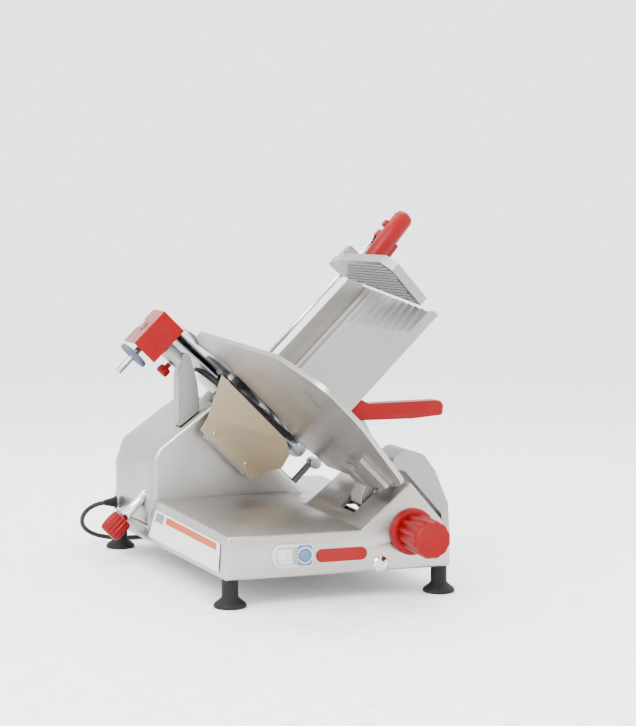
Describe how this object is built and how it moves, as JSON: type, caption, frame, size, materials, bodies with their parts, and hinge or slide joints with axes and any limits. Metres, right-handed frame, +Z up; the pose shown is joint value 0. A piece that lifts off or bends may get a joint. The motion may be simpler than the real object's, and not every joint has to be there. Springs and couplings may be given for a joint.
{
  "type": "deli meat slicer",
  "caption": "Gravity-feed counter slicer with a slanted round knife, gauge plate, sliding product chute with pusher, sharpener and a coiled mains lead.",
  "frame": {"origin": "centre of the machine on the floor it stands on, cord left out", "axes": "+X to the operator's right, +Y away from the operator along the carriage travel, +Z up"},
  "size_m": [0.4589, 0.8738, 0.5685],
  "materials": {
    "aluminium": "satin anodised casting",
    "brushed_steel": "brushed",
    "knife_steel": "hard chromed, turned",
    "dark_steel": "dark satin",
    "chrome": "polished",
    "deflector_coat": "beige satin coat",
    "red_plastic": "satin",
    "red_enamel": "gloss enamel",
    "white_plastic": "satin",
    "blue_plastic": "satin",
    "grinding_stone": "rough, gritty",
    "black_rubber": "matte"
  },
  "bodies": {
    "machine": {"base_casting": "aluminium", "bottom_cover": "brushed_steel", "foot_front_left": "black_rubber", "foot_front_right": "black_rubber", "foot_back_left": "black_rubber", "foot_back_right": "black_rubber", "switch_housing": "white_plastic", "front_badge": "red_enamel", "level_screw": "chrome", "side_plate": "white_plastic", "motor_housing": "aluminium", "rear_cover": "brushed_steel", "drive_motor": "dark_steel", "spindle": "dark_steel", "drive_belt": "black_rubber", "knife_guard": "aluminium", "deflector": "deflector_coat", "deflector_screw_1": "brushed_steel", "deflector_screw_2": "brushed_steel", "deflector_bracket": "aluminium", "guard_arm": "aluminium", "gauge_guide_rod": "brushed_steel", "carriage_rod": "chrome", "sharpener_arm": "aluminium", "tie_rod": "chrome", "strain_relief": "black_rubber", "power_cord": "black_rubber", "cord_coil": "black_rubber", "power_plug": "black_rubber"},
    "knife_disc": {"knife": "knife_steel", "knife_cover": "brushed_steel", "knife_pulley": "brushed_steel"},
    "motor_rotor": {"motor_pulley": "brushed_steel"},
    "gauge": {"gauge_plate": "aluminium", "gauge_bracket": "aluminium"},
    "index": {"index_dial": "red_plastic", "index_knob": "red_plastic", "index_shaft": "dark_steel"},
    "carriage": {"slide_block": "brushed_steel", "carriage_arm": "aluminium", "product_chute": "aluminium", "carriage_handle": "red_plastic", "pusher_rod": "chrome", "rod_bracket": "aluminium", "rod_end_cap": "red_plastic"},
    "pusher_slider": {"slider_bushing": "brushed_steel"},
    "pusher": {"pusher_plate": "aluminium", "pusher_grip": "red_plastic"},
    "start_key": {"start_button": "white_plastic"},
    "stop_key": {"stop_button": "blue_plastic"},
    "sharpener_post_body": {"sharpener_post": "chrome"},
    "sharpener_head": {"sharpener_cover": "red_enamel", "sharpener_body": "aluminium", "sharpener_nut": "chrome", "honing_stone": "grinding_stone"},
    "stone_pin": {"stone_plunger": "brushed_steel"},
    "grinder": {"grinding_stone": "grinding_stone"},
    "clamp_knob": {"sharpener_clamp_knob": "red_plastic"},
    "tie_knob_body": {"tie_knob": "red_plastic"}
  },
  "joints": [
    {"name": "knife_spin", "type": "hinge", "parent": "machine", "child": "knife_disc", "pos_m": [-0.00172, 0.2135, 0.28426], "axis": [0.7071, 0, 0.7071], "continuous": true},
    {"name": "motor_spin", "type": "hinge", "parent": "machine", "child": "motor_rotor", "pos_m": [0.05838, 0.2495, 0.19445], "axis": [0.7071, 0, 0.7071], "continuous": true},
    {"name": "gauge_slide", "type": "slide", "parent": "machine", "child": "gauge", "axis": [0.7071, 0, 0.7071], "range_m": [-0.014, 0]},
    {"name": "index_turn", "type": "hinge", "parent": "machine", "child": "index", "pos_m": [0.144, -0.2555, 0.0975], "axis": [0, 1, 0], "range_deg": [0, 301]},
    {"name": "carriage_slide", "type": "slide", "parent": "machine", "child": "carriage", "axis": [0, 1, 0], "range_m": [0, 0.31]},
    {"name": "pusher_slide", "type": "slide", "parent": "carriage", "child": "pusher_slider", "axis": [0.7071, 0, 0.7071], "range_m": [-0.186, 0]},
    {"name": "pusher_swing", "type": "hinge", "parent": "pusher_slider", "child": "pusher", "pos_m": [0.15809, 0.0895, 0.47659], "axis": [-0.7071, 0, -0.7071], "range_deg": [0, 60]},
    {"name": "start_press", "type": "slide", "parent": "machine", "child": "start_key", "axis": [0, 1, 0], "range_m": [0, 0.0023], "stiffness_N_per_m": 900, "springref_m": -0.001},
    {"name": "stop_press", "type": "slide", "parent": "machine", "child": "stop_key", "axis": [0, 1, 0], "range_m": [0, 0.0023], "stiffness_N_per_m": 900, "springref_m": -0.001},
    {"name": "sharpener_lift", "type": "slide", "parent": "machine", "child": "sharpener_post_body", "axis": [-0.7071, 0, 0.7071], "range_m": [0, 0.03]},
    {"name": "sharpener_turn", "type": "hinge", "parent": "sharpener_post_body", "child": "sharpener_head", "pos_m": [-0.12051, 0.1895, 0.3479], "axis": [-0.7071, 0, 0.7071], "range_deg": [-85, 0]},
    {"name": "stone_push", "type": "slide", "parent": "sharpener_head", "child": "stone_pin", "axis": [0.7071, 0, 0.7071], "range_m": [0, 0.005], "stiffness_N_per_m": 400, "springref_m": -0.001},
    {"name": "stone_spin", "type": "hinge", "parent": "stone_pin", "child": "grinder", "pos_m": [-0.17249, 0.1895, 0.33764], "axis": [0.7071, 0, 0.7071], "continuous": true},
    {"name": "clamp_turn", "type": "hinge", "parent": "machine", "child": "clamp_knob", "pos_m": [-0.12051, 0.1895, 0.31395], "axis": [0.7071, 0, 0.7071], "range_deg": [-60, 0]},
    {"name": "tie_turn", "type": "hinge", "parent": "machine", "child": "tie_knob_body", "pos_m": [-0.19405, 0.2045, 0.06505], "axis": [0.7071, 0, 0.7071], "range_deg": [-360, 360]}
  ],
  "couplings": [
    {"joint": "motor_spin", "follows": "knife_spin", "ratio": 3.1925},
    {"joint": "index_turn", "follows": "gauge_slide", "rad_per_m": -374}
  ]
}
